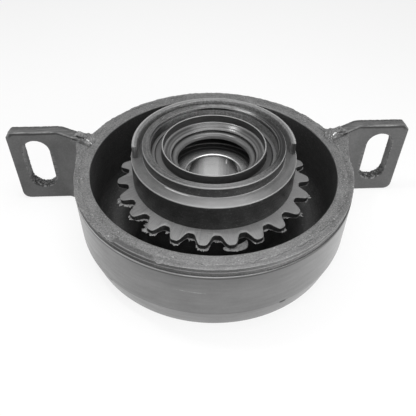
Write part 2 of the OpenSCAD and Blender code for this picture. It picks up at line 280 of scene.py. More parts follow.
def skin(rings, closed=True, flip=None):
    """Vertices and faces over rows of closed sections, mirrored if flip names an axis.

    An open row is capped at both ends."""
    rows, columns = rings.shape[:2]
    index = np.arange(rows * columns).reshape(rows, columns)
    last = rows if closed else rows - 1
    a, b = index[:last], np.roll(index, -1, 0)[:last]
    faces = np.stack([a, b, np.roll(b, -1, 1), np.roll(a, -1, 1)], -1).reshape(-1, 4).tolist()
    if not closed:
        faces += [index[0].tolist(), index[-1][::-1].tolist()]
    sides = [-1 if axis == flip else 1 for axis in range(3)]
    return rings.reshape(-1, 3) * sides, faces


def link_object(name, data):
    """A new object in the scene."""
    made = bpy.data.objects.new(name, data)
    bpy.context.scene.collection.objects.link(made)
    return made


def piece(name, shells, finish, body="housing", stands_for=(), crease=40, marks=None):
    """A mesh made of shells, finished, riding on a body and standing for CAD nodes.

    marks are values that its points carry for the material."""
    vertices, faces = [], []
    for points, polygons in shells:
        base = sum(map(len, vertices))
        vertices.append(points)
        faces += [[base + k for k in polygon] for polygon in polygons]
    mesh = bpy.data.meshes.new(name)
    mesh.from_pydata((np.vstack(vertices) * MM).tolist(), [], faces)
    work = bmesh.new()
    work.from_mesh(mesh)
    bmesh.ops.recalc_face_normals(work, faces=work.faces)
    work.to_mesh(mesh)
    work.free()
    mesh.shade_smooth()
    mesh.set_sharp_from_angle(angle=math.radians(crease))
    for label, values in (marks or {}).items():
        layer = mesh.attributes.new(label, "FLOAT", "POINT")
        layer.data.foreach_set("value", np.asarray(values, np.float32).ravel())
    mesh.materials.append(FINISHES[finish])
    made = link_object(name, mesh)
    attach(made, body)
    if stands_for:
        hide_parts(*stands_for)


# Materials


def grey(value):
    """A neutral colour."""
    return (value, value, value, 1)


class Value:
    """A number or a colour that varies over a surface."""

    def __init__(self, nodes, socket):
        self.nodes = nodes
        self.socket = socket

    def math(self, operation, *others):
        """A function of this value and others."""
        return self.nodes.add("Math", dict(enumerate((self, *others))), operation=operation)

    def __add__(self, other):
        return self.math("ADD", other)

    def __mul__(self, other):
        return self.math("MULTIPLY", other)

    def __abs__(self):
        return self.math("ABSOLUTE")

    def most(self, other):
        """The larger of two values."""
        return self.math("MAXIMUM", other)

    def cosine(self):
        """Cosine of an angle in degrees."""
        return (self * (TURN / 360)).math("COSINE")

    def ramp(self, low, high, first=0, last=1):
        """Maps the range from low to high to another, held at its ends."""
        return self.nodes.add("MapRange", {"Value": self, "From Min": low, "From Max": high,
                                           "To Min": first, "To Max": last})

    def band(self, low, high, soft):
        """1 where the value lies between two limits, fading over soft outside them."""
        return self.ramp(low - soft, low) * self.ramp(high, high + soft, 1, 0)

    def mix(self, first, second):
        """A number: first where this value is 0, second where it is 1."""
        return self.nodes.add("Mix", {"Factor": self, "A": first, "B": second})

    def shades(self, first, second):
        """A colour: first where this value is 0, second where it is 1. A plain number is a grey."""
        first, second = (c if isinstance(c, Value) else grey(c) for c in (first, second))
        return self.nodes.add("Mix", {"Factor": self, 6: first, 7: second}, 2, data_type="RGBA")

    def painted(self, colour, share):
        """This colour with another over it, by a share."""
        return share.shades(self, colour)


class Nodes:
    """A node tree."""

    def __init__(self, tree):
        self.tree = tree

    def add(self, kind, inputs=None, output=0, **settings):
        """Adds a node with its settings, values and links, and gives one of its outputs."""
        made = self.tree.nodes.new("ShaderNode" + kind)
        for key, value in settings.items():
            setattr(made, key, value)
        for key, value in (inputs or {}).items():
            if isinstance(value, Value):
                self.tree.links.new(value.socket, made.inputs[key])
            else:
                made.inputs[key].default_value = value
        return Value(self, made.outputs[output]) if made.outputs else None


class Finish(Nodes):
    """A material with a Principled shader, whose constant values are set on it."""

    def __init__(self, name, metallic=0.0, specular=0.5):
        self.material = bpy.data.materials.new(name)
        self.material.use_nodes = True
        super().__init__(self.material.node_tree)
        self.shader = self.tree.nodes["Principled BSDF"]
        self.shader.inputs["Metallic"].default_value = metallic
        self.shader.inputs["Specular IOR Level"].default_value = specular
        # Place in the part's own frame in metres, its place on the plan, and the surface's direction
        self.place = self.add("TexCoord", output="Object")
        self.plan = self.vector("MULTIPLY", self.place, (1, 1, 0))
        self.normal = self.add("NewGeometry", output="Normal")

    def link(self, name, value):
        """Gives a varying value to the shader."""
        self.tree.links.new(value.socket, self.shader.inputs[name])

    def finished(self, colour, roughness, height, depth, strength):
        """The material with its colour, its roughness and a bump whose depth is in millimetres."""
        bump = self.add("Bump", {"Height": height, "Distance": depth * MM, "Strength": strength})
        self.link("Base Color", colour)
        self.link("Roughness", roughness)
        self.link("Normal", bump)
        return self.material

    def vector(self, operation, *inputs, output=0):
        """A function of vectors."""
        return self.add("VectorMath", dict(enumerate(inputs)), output, operation=operation)

    def axis(self, vector, name):
        """One axis of a vector."""
        return self.add("SeparateXYZ", {0: vector}, name)

    def radius(self):
        """Distance from the axis, in metres."""
        return self.vector("LENGTH", self.plan, output="Value")

    def cylinder_place(self):
        """Heading in degrees, radius and height in millimetres."""
        x, y, z = (self.axis(self.place, name) for name in "XYZ")
        return y.math("ARCTAN2", x) * (360 / TURN), self.radius() * (1 / MM), z * (1 / MM)

    def facing_up(self):
        """Upward share of the surface's direction: 1 on a level top, 0 on a wall."""
        return self.axis(self.normal, "Z")

    def facing_out(self):
        """Outward share of the surface's direction: 1 away from the axis, -1 towards it."""
        return self.vector("DOT_PRODUCT", self.normal, self.vector("NORMALIZE", self.plan), output="Value")

    def mark(self, name):
        """A value that the mesh carries at its points."""
        return self.add("Attribute", output="Fac", attribute_name=name)

    def noise(self, scale, detail=4, rough=0.55, vector=None):
        """Grey noise over the part's own frame, or over another vector."""
        inputs = {"Vector": vector or self.place, "Scale": scale, "Detail": detail, "Roughness": rough}
        return self.add("TexNoise", inputs, "Fac")

    def turned_noise(self, around, across, rise, detail):
        """Noise in streaks that follow a turning, with a scale each for heading, radius and height."""
        lift = self.radius() * across + self.axis(self.place, "Z") * rise
        swung = self.vector("MULTIPLY", self.vector("NORMALIZE", self.plan), (around, around, around))
        upright = self.add("CombineXYZ", {"Z": lift})
        return self.noise(1, detail, vector=self.vector("ADD", swung, upright))

    def drawn_sheet(self, speckle):
        """Drawing marks, grain, and both with blotches as one texture, for pressed steel."""
        drawn = self.turned_noise(5, 300, 420, 4)
        grain = self.noise(900, 3)
        return drawn, grain, drawn + grain * speckle + self.noise(60, 3) * 0.8


def cushion_rubber():
    """Dull moulded rubber: dusty on top, dark on its walls, with pale torn flash and painted light:
    highlights on rounded edges, and light and shade on the hub, the teeth and the rim's wall.
    """
    look = Finish("cushion_rubber")
    heading, radius, rise = look.cylinder_place()
    level = look.facing_up()
    outward = look.facing_out()
    inward = outward.ramp(-0.2, -0.7)
    leftward = heading.cosine().ramp(-0.7, -0.88)
    streak = look.turned_noise(7, 620, 1300, 5)
    combed = look.turned_noise(150, 50, 50, 4)
    grain = look.noise(1250, 3, 0.7)
    blotch = look.noise(110, 3)
    speck = look.noise(900, 4, 0.75)
    # Regions of the moulding
    exposed = rise.ramp(FLASH_Z - 3, FLASH_Z + 0.5)
    # Near side, painted lighter on the rim, the flange and the collar as a painted highlight
    near_highlight = heading.band(-97, -74, 28)
    on_rim = radius.ramp(LINING_R - 1, LINING_R) * exposed
    on_teeth = radius.band(HUB_R, TOOTH_TIP_R, 0.5) * rise.band(FLASH_Z + 0.5, TOOTH_FOOT_Z + 0.8, 1)
    on_hub = radius.ramp(HUB_R - 0.5, HUB_R + 0.5, 1, 0) * rise.ramp(HUB_TOP - 3.4, HUB_TOP - 1.4)
    on_collar = on_hub * rise.ramp(COLLAR_TOP - 3.2, COLLAR_TOP - 2.2)
    on_collar = on_collar * radius.ramp(COLLAR_R + 0.3, COLLAR_R + 0.8, 1, 0)
    on_top = level.ramp(0.35, 0.85) * exposed
    lines = on_teeth.mix(streak, combed)
    fine = lines + grain * 0.5 + blotch * 0.6
    coarse = streak * 0.4 + grain * 1.3 + blotch * 0.4
    texture = on_rim.mix(fine, coarse)
    tone = texture.ramp(0.8, 1.3)
    # Dusty rim, with small chips, a crack that wanders along it and a bitten stretch
    chips = look.noise(950, 2).ramp(0.65, 0.71, 0, 0.8)
    wander = look.turned_noise(14, 0, 0, 3).ramp(0.2, 0.8, -1.6, 1.6)
    crack = (radius + wander).band(CRACK_R - 0.15, CRACK_R + 0.15, 0.2)
    kept = look.turned_noise(9, 0, 0, 2).ramp(0.45, 0.55, 0, 0.7)
    ragged = look.turned_noise(60, 0, 0, 3).ramp(0.3, 0.7, -0.5, 0.5)
    bitten = (radius + ragged).ramp(RIM_R - 2.6, RIM_R - 2.3, 0, 0.85)
    bitten = bitten * (heading + ragged * 0.8).band(-131, -115.5, 1.5)
    rim_tone = tone.shades(0.03, 0.155).painted(0.24, near_highlight * 0.25).painted(0.32, chips)
    rim_tone = rim_tone.painted(0.025, crack * kept).painted(tone.shades(0.02, 0.045), bitten)
    # Dusty teeth, painted lighter towards the right and on a stretch at the far right as painted light
    tooth_tone = tone.shades(0.065, 0.135).painted(0.2, heading.ramp(-130, -50, 0, 0.5))
    tooth_tone = tooth_tone.painted(0.3, heading.band(22, 60, 6) * 0.5)
    # Cleaner, glossier rubber on the hub, with painted light: a highlight line along the collar's foot on the
    # left, shade on the collar's right, and highlights on the collar's far right and far side
    foot = heading.band(-130, -113, 3) * radius.band(COLLAR_R + 0.4, COLLAR_R + 0.8, 0.2)
    speckled = speck.ramp(0.4, 0.62).shades(0.02, 0.085).painted(0.2, near_highlight * 0.3)
    shaded_collar_right = on_collar * heading.band(-25, 32, 20)
    collar_highlight = radius.band(SLEEVE_R + 0.6, SLEEVE_R + 2.2, 0.4) * heading.band(52, 63, 9)
    far_collar_highlight = radius.band(SLEEVE_R + 1.6, SLEEVE_R + 3.2, 0.4) * heading.band(66, 96, 9)
    collar_highlight = collar_highlight.most(far_collar_highlight * 0.4) * on_collar * texture.ramp(0.85, 1.25, 0.15, 1)
    collar_highlight = collar_highlight * rise.ramp(COLLAR_TOP - 0.9, COLLAR_TOP - 0.6)
    clean_and_lit = tone.shades(0.045, 0.09).painted(0.24, near_highlight * 0.6).painted(0.4, foot * 0.8)
    clean_and_lit = clean_and_lit.painted(speckled, on_collar * 0.85).painted(0.008, shaded_collar_right * 0.9).painted(0.4, collar_highlight)
    dust_and_light = tooth_tone.painted(rim_tone, on_rim).painted(clean_and_lit, on_hub)
    # Bare walls: speckled and painted lighter inside the collar and the lip as painted light, with painted
    # shade on the collar's inner wall at the left, a lip end on the left painted lighter as painted light,
    # and a painted shadow in the groove under the collar's inner edge at the far side
    bare = tone.shades(0.011, 0.03).painted(0.07, speck.ramp(0.54, 0.68, 0, 0.9))
    bare = bare.painted(speck.ramp(0.4, 0.62).shades(0.1, 0.24), on_hub * inward)
    bare = bare.painted(0.006, leftward * on_hub * radius.ramp(SLEEVE_R + 1.2, SLEEVE_R + 1.6, 0.9, 0))
    lip_end = outward.band(-0.5, 0.5, 0.15) * level.ramp(0.3, 0.6, 1, 0) * on_hub * leftward
    bare = bare.painted(0.1, lip_end * radius.ramp(COLLAR_R + 1, COLLAR_R + 2, 0, 0.9))
    gap = rise.band(COLLAR_TOP - 1.8, COLLAR_TOP - 0.9, 0.2) * heading.band(74, 96, 14) * on_hub
    bare = bare.painted(0.004, gap * radius.ramp(SLEEVE_R + 1.1, SLEEVE_R + 1.4, 1, 0))
    # Dust on the rim's wall, with more painted on its right as painted light
    lit_right_side = heading.band(-72, -42, 12)
    wall_dust_and_light = radius.ramp(RIM_R - 1.5, RIM_R - 0.5) * exposed * lit_right_side.ramp(0, 1, 0.35, 0.75)
    covered = bare.painted(dust_and_light, on_top.most(wall_dust_and_light))
    # Painted highlights on rounded corners and on the lip's crest, and pale torn flash
    corner = level.band(0.35, 0.8, 0.15) * exposed * inward.ramp(0, 1, 0.75, 0.15)
    corner = corner * radius.ramp(RIM_R + 0.6, RIM_R + 1.2, 1, 0.1)
    crest = rise.ramp(MOON_TOP - 0.7, MOON_TOP - 0.3, 0, 0.85) * on_hub
    crest = crest * radius.ramp(MOON_R - 1.7, MOON_R - 1.2, 0.2, 1)
    highlighted = covered.painted(0.25, corner.most(crest))
    torn = rise.band(FLASH_Z - 1, FLASH_Z + 0.45, 0.15) * on_top * radius.ramp(HUB_R + 1, HUB_R + 2)
    on_flap = heading.band(FLAP[0][0], FLAP[-1][0], 1)
    flaky = speck.ramp(0.4, 0.6).shades(0.07, 0.25).painted(0.03, on_flap * 0.5)
    shine = on_collar.ramp(0, 1, 0.5, 0.32) + near_highlight * on_collar * 0.18 + shaded_collar_right * -0.2
    look.link("Specular IOR Level", shine)
    dull = radius.ramp(HUB_R, LINING_R, 0.34, 0.58) + texture.ramp(0.75, 1.35, 0.06, -0.06)
    return look.finished(highlighted.painted(flaky, torn), dull, lines + grain * 0.8, 0.25, 0.5)


def band_steel():
    """Satin coat on the pressed ring, with its drawing marks, a scratch, a nick and a dark spot, and painted
    light: a painted reflection on its right, painted shade under the rim and a painted highlight on its top
    edge.
    """
    look = Finish("band_steel", 0.97)
    heading, radius, rise = look.cylinder_place()
    drawn, grain, texture = look.drawn_sheet(0.35)
    tone = texture.ramp(0.8, 1.4)
    # The right side is painted lighter as a painted reflection
    coat = tone.shades(0.158, 0.194).painted(0.26, heading.band(-30, 10, 40))
    # Painted shade under the rim at the front
    shade_under_rim = heading.band(-105, -85, 30) * rise.ramp(BAND_TOP - 12, BAND_TOP - 2, 0, 0.3)
    coat = coat.painted(0.06, shade_under_rim)
    # Painted highlight on the rolled edge, fading to the right, with painted shade: a dark line under it, a
    # darker rolled edge on the right, and a faint dark line along the bend where the taper starts
    shade = rise.band(BAND_TOP - 1.35, BAND_TOP - 0.75, 0.15)
    fold_shade = rise.band(TAPER_Z - 0.25, TAPER_Z + 0.15, 0.2)
    rolled = rise.ramp(BAND_TOP - 0.65, BAND_TOP - 0.45)
    edge_shade = rolled * heading.ramp(-95, -70, 0.1, 0.8)
    edge = rise.ramp(BAND_TOP - 0.55, BAND_TOP - 0.4) * radius.ramp(BAND_R - 0.4, BAND_R - 0.25)
    edge = edge * heading.ramp(-95, -70, 0.5, 0)
    coat = coat.painted(0.04, shade * 0.7).painted(0.06, fold_shade * 0.45)
    coat = coat.painted(0.06, edge_shade).painted(0.35, edge)
    # Scratch, nick and spot on the front
    above = rise + -TAPER_Z
    scratch = heading.band(*SCRATCH[0]) * (above + heading * SCRATCH_CLIMB).band(*SCRATCH[1])
    scratch = scratch * look.noise(420, 2).ramp(0.42, 0.58, 0.05, 0.5)
    spot, nick = (heading.band(*sideways) * above.band(*upright) for sideways, upright in (SPOT, NICK))
    marked = spot.most(nick)
    coat = coat.painted(0.45, scratch).painted(0.01, marked)
    look.link("Coat Weight", rolled.most(marked).ramp(0, 1, 0.5, 0))
    look.shader.inputs["Coat Roughness"].default_value = 0.25
    return look.finished(coat, tone.ramp(0, 1, 0.48, 0.36), grain + drawn * 0.5, 0.08, 0.25)


def coated_steel(name, dark, light, roughness, metallic, speckle=0.35, broken=False):
    """Satin coat on steel, with faint drawing marks, blotches and specks, and if broken, gaps painted black
    as shadow and bright flakes.
    """
    look = Finish(name, metallic)
    drawn, grain, texture = look.drawn_sheet(speckle)
    tone = texture.ramp(0.62 + 0.5 * speckle, 1.22 + 0.5 * speckle)
    colour = tone.shades(dark, light)
    if broken:
        gap_shadow = look.mark("gap").ramp(0, 0.6)
        bright = look.mark("flake") * grain.ramp(0.4, 0.6, 0.3, 1)
        colour = colour.painted(0.004, gap_shadow).painted(0.7, bright)
        look.link("Specular IOR Level", gap_shadow.ramp(0, 1, 0.5, 0))
    dull = tone.ramp(0, 1, roughness + 0.07, roughness - 0.05)
    return look.finished(colour, dull, grain + drawn * 0.5, 0.08, 0.25)


def sheared_steel(name, dark, light, roughness, metallic):
    """Coated plate with sheared edges: burnished towards the front with a painted highlight along the front
    corner, torn and dark towards the back, and a painted shadow on the front face under the top edge's burr.
    """
    look = Finish(name, metallic)
    texture = look.noise(800, 3) + look.noise(70, 3) * 1.2
    tone = texture.ramp(0.85, 1.4)
    shear = look.noise(1, 4, 0.6, look.vector("MULTIPLY", look.place, (130, 900, 900)))
    speck = look.noise(620, 2, 0.7)
    across = look.mark("across")
    burnished = shear.ramp(0.35, 0.65).shades(dark * 0.5, light * 0.95)
    fractured = speck.ramp(0.4, 0.65).shades(dark * 0.25, light * 0.5)
    edge = burnished.painted(fractured, (across + speck * 0.2).ramp(0.72, 0.9))
    lit = across.band(0, 0.1, 0.08) * shear.ramp(0.4, 0.6, 0.1, 0.8)
    chipped = speck.ramp(0.5, 0.64).shades(dark * 0.4, light * 1.9)
    edge = edge.painted(light * 1.8, lit).painted(chipped, look.mark("rugged"))
    colour = tone.shades(dark, light).painted(edge, look.mark("sheared"))
    colour = colour.painted(dark * 0.15, look.mark("burr_shadow") * 0.8)
    return look.finished(colour, tone.ramp(0, 1, roughness + 0.06, roughness - 0.05), texture, 0.08, 0.3)


def seal_case_steel():
    """Painted seal case: dark walls, a lighter shoulder with painted light, lighter to the left and darker to
    the right, and a rim lighter along its top edge.
    """
    look = Finish("seal_case_steel", 0.2)
    heading, _, rise = look.cylinder_place()
    rings = look.turned_noise(3, 1500, 600, 3)
    texture = rings + look.noise(900, 3) * 0.5
    tone = texture.ramp(0.55, 0.95)
    # Painted light: the shoulder lighter to the left and darker to the right
    towards_right = heading.cosine()
    flat = tone.shades(0.035, 0.07).painted(0.11, towards_right.ramp(-1, 0, 0.4, 0))
    flat = flat.painted(0.015, towards_right.ramp(0, 1, 0, 0.6))
    paint = tone.shades(0.02, 0.042).painted(flat, abs(look.facing_up()).ramp(0.5, 0.9))
    edge = abs(rise).ramp(case_high.z - 0.75, case_high.z - 0.5, 0, 0.85)
    return look.finished(paint.painted(0.26, edge), tone.ramp(0, 1, 0.46, 0.36), texture, 0.04, 0.3)


def turned_steel(name, base, roughness, line_scale, depth):
    """Bare metal with fine lathe or grinding lines around the axis."""
    look = Finish(name, 1.0)
    lines = look.turned_noise(3, line_scale, line_scale, 3)
    tone = (lines + look.noise(140, 3) * 0.6).ramp(0.5, 1.1)
    dull = tone.ramp(0, 1, roughness + 0.06, roughness - 0.04)
    return look.finished(tone.shades(base * 0.82, base), dull, lines, depth, 0.3)


def race_steel():
    """Bearing steel: a bright ground bore with painted reflections and a painted glint, bright chamfers, and
    dull, oily end faces.
    """
    look = Finish("race_steel", 1.0)
    heading, _, rise = look.cylinder_place()
    rings = look.turned_noise(3, 1600, 1600, 3)
    upright = look.turned_noise(9, 0, 12, 2)
    grain = look.noise(1500, 3)
    tilt = abs(look.facing_up())
    end_face = tilt.ramp(0.82, 0.95)
    chamfer = tilt.band(0.1, 0.8, 0.05)
    # Painted reflections: light and dark stretches around the bore, and one small painted glint; the bore is
    # greyer below its top end
    wave = ((heading + -BORE_LIGHT_AT) * BORE_STRETCHES).cosine()
    ground_and_reflections = (wave + upright).ramp(-0.6, 1.2).shades(0.17, 0.8)
    ground_and_reflections = ground_and_reflections.painted(0.3, rise.ramp(race_high.z - 7, race_high.z - 1, 0.4, 0))
    glint = heading.band(55.5, 58.5, 0.8) * rise.band(race_high.z - 4.6, race_high.z - 1.8, 0.6)
    ground_and_reflections = ground_and_reflections.painted(1.0, glint).painted(0.62, chamfer)
    oiled = (grain + rings * 0.5).ramp(0.6, 0.95).shades(0.13, 0.36)
    dull = chamfer.most(end_face).ramp(0, 1, 0.23, 0.45)
    return look.finished(ground_and_reflections.painted(oiled, end_face), dull, rings + grain * 0.5, 0.02, 0.3)


def seal_rubber(name, dark, light, roughness, gloss=0.5):
    """Seal rubber with fine rings, painted highlights on ridges and painted shade in grooves."""
    look = Finish(name, specular=gloss)
    lines = look.turned_noise(2, 1500, 1200, 2)
    tone = (lines + look.noise(220, 3) * 0.8).ramp(0.6, 1.2)
    colour = tone.shades(dark, light).painted(light * 2.2, look.mark("ridge_highlight"))
    colour = colour.painted(dark * 0.2, look.mark("groove"))
    return look.finished(colour, tone.ramp(0, 1, roughness + 0.08, roughness - 0.05), lines, 0.05, 0.3)


FINISHES = {
    "band_steel": band_steel(),
    "ear_steel": sheared_steel("ear_steel", 0.075, 0.105, 0.45, 0.3),
    "weld_steel": coated_steel("weld_steel", 0.045, 0.18, 0.55, 0.2, 1.6, broken=True),
    "cushion_rubber": cushion_rubber(),
    "sleeve_steel": coated_steel("sleeve_steel", 0.08, 0.11, 0.45, 0.2),
    "seal_case_steel": seal_case_steel(),
    "seal_rubber": seal_rubber("seal_rubber", 0.03, 0.06, 0.22, 0.4),
    "race_steel": race_steel(),
    "ball_steel": turned_steel("ball_steel", 0.72, 0.08, 200, 0.002),
    "cage_steel": turned_steel("cage_steel", 0.48, 0.32, 500, 0.03),
    "shield_rubber": seal_rubber("shield_rubber", 0.012, 0.02, 0.5),
    "oiled_steel": coated_steel("oiled_steel", 0.012, 0.025, 0.45, 0.3),
}


# Rubber moulding


def cushion_profile():
    """Section of the moulding, from the sleeve round the outside and back over the hub."""
    web_start = 180 + math.degrees(math.asin((TROUGH_Z - HUB_LOW) / WEB_R))
    web_end = 360 - math.degrees(math.acos((BASE_IN_R - TROUGH_AT) / WEB_R))
    edge, soft, foot = 0.9, 0.75, 0.4
    flange_slope = 0.12
    flange_mid = (HUB_R + COLLAR_R) / 2
    flange_edge = HUB_TOP - flange_slope * (HUB_R - soft - flange_mid)
    flange_foot = HUB_TOP + flange_slope * (flange_mid - COLLAR_R)
    flange_r = np.linspace(HUB_R - soft, COLLAR_R + 0.5, 9)[1:-1]
    rim_r = np.linspace(RIM_R - edge, LINING_R + edge, 27)[1:-1]
    # Wall of the rim: steps outward and up from the ring's top, with one low ridge
    rim_wall = ((0, -0.4), (0, 1.4), (0, 2), (0.15, 2.25), (0, 2.5), (0, 3.2))
    return (
        [(SLEEVE_R, HUB_LOW)]
        + arc(TROUGH_AT, TROUGH_Z, WEB_R, web_start, web_end, 12)
        + [(BASE_IN_R, BASE_Z + BAND_T)]
        + arc(CORNER_AT, CORNER_Z, BASE_CORNER_R - BAND_T, -90, -BAND_LEAN, 6)
        + [(BAND_IN_R, TAPER_Z), (BAND_IN_R, BAND_TOP - 0.4)]
        + [(RIM_R + out, BAND_TOP + up) for out, up in rim_wall]
        + arc(RIM_R - edge, RIM_TOP - edge, edge, 0, 90, 5)
        + [(r, RIM_TOP) for r in rim_r]
        + arc(LINING_R + edge, RIM_TOP - edge, edge, 90, 180, 5)
        + [(LINING_R, z) for z in np.linspace(RIM_TOP - 4, TROUGH_Z + 4, 5)]
        + arc(TROUGH_AT, TROUGH_Z, TROUGH_R, 360, 180, 24)
        + [(HUB_R, z) for z in np.linspace(TROUGH_Z + 6, HUB_TOP - 3, 6)]
        + arc(HUB_R - soft, flange_edge - soft, soft, 0, 80, 5)
        + [(r, HUB_TOP + flange_slope * (flange_mid - r)) for r in flange_r]
        + arc(COLLAR_R + foot, flange_foot + foot, foot, 260, 180, 3)
        + arc(COLLAR_R - soft, COLLAR_TOP - soft, soft, 0, 90, 5)
        + [(SLEEVE_R + 2.2, COLLAR_TOP - 0.05), (SLEEVE_R + 1.9, COLLAR_TOP - 0.25)]
        + arc(SLEEVE_R + 1, COLLAR_TOP - 0.6, 0.5, 70, 180, 4)
        + [(SLEEVE_R + 0.9, COLLAR_TOP - 0.9), (SLEEVE_R + 0.9, COLLAR_TOP - 1.7)]
        + [(SLEEVE_R, COLLAR_TOP - 2), (SLEEVE_R, HUB_TOP)]
    )


def cushion_body():
    """The moulding, with a slightly uneven rim and a shallow torn step that wanders along it."""
    angles = full_turn(400)[:, None]
    r, z = np.array(cushion_profile()).T
    on_top = step_up(RIM_TOP - 0.6, RIM_TOP - 0.1, z) * step_up(LINING_R - 1, LINING_R + 0.5, r)
    layer = 0.12 * ring_noise(angles, 40, 1) + 0.05 * ring_noise(angles, 310, 2)
    torn_at = TORN_R + 0.7 * ring_noise(angles, 23, 3) + 0.25 * ring_noise(angles, 170, 4)
    torn = -0.22 * step_up(torn_at - 0.12, torn_at + 0.12, r) * (ring_noise(angles, 17, 5) > -0.35)
    return turned(angles, r, z + on_top * (layer + torn))


def rim_flash():
    """Thin ragged flash left around the rim's upper edge, torn away for a stretch at the front left."""
    angles = full_turn(1800)
    degrees = np.degrees(angles)
    reach = 0.75 + 0.45 * ring_noise(angles, 37, 11) + 0.3 * ring_noise(angles, 211, 12)
    reach = np.clip(reach + 0.25 * ring_noise(angles, 620, 13), 0.12, 1.4)
    on_right = step_up(248, 256, degrees) * step_up(358, 345, degrees)
    reach = reach + (0.25 - reach) * 0.8 * on_right
    by_ears = step_up(20, 17, degrees) + step_up(160, 163, degrees) * step_up(199, 193, degrees)
    reach = reach * (1 - 0.95 * by_ears)
    torn_from, torn_to = 229, 246.5
    torn = step_up(torn_from - 1, torn_from + 1, degrees) - step_up(torn_to - 0.7, torn_to + 0.7, degrees)
    reach = (reach * (1 - torn) - 0.25 * torn)[:, None]
    droop = (0.25 + 0.2 * ring_noise(angles, 150, 14))[:, None] * reach
    root, top, sheet = RIM_R - 1.6, RIM_TOP + 0.06, 0.45
    edge_r = RIM_R + reach
    return swept(angles, [
        (root, top - 0.2),
        (root + 0.4, top),
        (RIM_R - 0.3, top - 0.1),
        (edge_r - 0.15, top - 0.12 - droop),
        (edge_r, top - 0.25 - droop),
        (edge_r - 0.1, top - sheet - droop),
        (RIM_R - 0.2, top - sheet - 0.35),
        (root, top - sheet - 0.3),
    ])


def half_moon_lip():
    """Upright lip on the far half of the hub flange, with rounded ends and a small nick."""
    foot_z = HUB_TOP - 0.5
    inner_r = MOON_R - MOON_WALL
    corners = [(inner_r, foot_z), (MOON_R, foot_z), (MOON_R, MOON_TOP), (inner_r, MOON_TOP)]
    profile = np.array(resampled(rounded(corners, [0.1, 0.1, 1.2, 1.2], 6), 0.8))
    middle = profile[:, 0].mean()
    half = math.radians(MOON_ANGLE / 2)
    sweep = np.linspace(-half, half, 241)[:, None]
    end_round = math.radians(1.1)
    past = np.clip((np.abs(sweep) - half + end_round) / end_round, 0, 1)
    shrink = np.sqrt(np.clip(1 - past ** 2, 0.06, 1))
    nick_at, nick_half = math.radians(6.7), math.radians(0.9)
    nick = 0.6 * np.clip(1 - np.abs(sweep - nick_at) / nick_half, 0, 1)
    r = middle + (profile[:, 0] - middle) * shrink
    return turned(math.pi / 2 + sweep, r, np.minimum(profile[:, 1], MOON_TOP - nick))


def collar_burr():
    """Small torn fin of rubber standing on the collar at the far left."""
    angles = np.radians(np.linspace(137.5, 142.5, 26))
    ragged = np.sin(np.linspace(0, math.pi, 26)) + 0.5 * ring_noise(angles, 900, 29)
    rise = 0.9 * np.clip(ragged, 0.1, 1.3)[:, None]
    foot_r, foot_z, sheet = SLEEVE_R + 1.5, COLLAR_TOP - 0.6, 0.3
    corners = ((-sheet, 0), (sheet, 0), (0.5 * sheet, 1), (-0.5 * sheet, 1))
    return swept(angles, [(foot_r + out, foot_z + (0.6 + rise) * share) for out, share in corners])


def tooth_outline(angles):
    """Radius of the wavy snubber at an angle."""
    wave = np.cos(TOOTH_COUNT * (angles - math.radians(TOOTH_PHASE)))
    return TOOTH_TIP_R - TOOTH_DEPTH / 2 + TOOTH_DEPTH / 2 * np.sin(math.pi / 2 * wave)


def tooth_top(r):
    """Height of the sloping top of the teeth at a radius."""
    return TOOTH_FOOT_Z - TOOTH_FALL / (TOOTH_TIP_R - HUB_R) * (r - HUB_R)


def snubber_teeth():
    """Toothed flange with rounded upper edges."""
    angles = full_turn(TOOTH_COUNT * 48)
    outline = tooth_outline(angles)[:, None]
    inside = HUB_R - 1.5
    edge = 0.6
    top_r = [inside + (outline - edge - inside) * share for share in (0, *np.linspace(0.1, 0.92, 8))]
    section = [(r, tooth_top(r)) for r in top_r]
    section += [(outline + x, tooth_top(outline) + z) for x, z in arc(-edge, -edge, edge, 90, 0, 4)]
    section += [(outline - 0.05, TOOTH_LOW + 1.2), (outline - 0.15, TOOTH_LOW), (inside, TOOTH_LOW)]
    return swept(angles, section)


def tooth_flash():
    """Thin torn flash along the teeth's lower edge: flakes of known place in front, random ones behind."""
    angles = full_turn(TOOTH_COUNT * 140)
    edge = tooth_outline(angles)[:, None] * np.stack([np.cos(angles), np.sin(angles)], -1)
    along = np.roll(edge, -1, 0) - np.roll(edge, 1, 0)
    out = np.stack([along[:, 1], -along[:, 0]], -1) / np.linalg.norm(along, axis=1)[:, None]
    reach = 1.3 * np.clip(ring_noise(angles, 61, 21), 0, 1) * step_up(-0.1, 0.2, np.sin(angles))
    for heading, half, size in FLAKES:
        away = np.abs((np.degrees(angles) - heading + 180) % 360 - 180)
        reach = np.maximum(reach, size * step_up(half, 0.55 * half, away))
    ragged = 0.75 + 0.4 * ring_noise(angles, 560, 22) + 0.35 * ring_noise(angles, 1300, 23)
    reach = reach * np.clip(ragged, 0.1, 1.4) + 0.1
    droop = 0.15 * reach * (1 + ring_noise(angles, 120, 24))
    sheet = 0.22
    # Section of the flash: share of its reach, depth in the tooth, height
    section = ((0, 0.5, sheet), (0.5, 0, sheet), (1, 0, 0.6 * sheet), (0.97, 0, 0), (0.5, 0, 0), (0, 0.5, 0))
    columns = []
    for share, sunk, lift in section:
        spot = edge + out * (share * reach - sunk)[:, None]
        columns.append(np.column_stack([spot, FLASH_Z + lift - share * droop]))
    return np.stack(columns, 1)


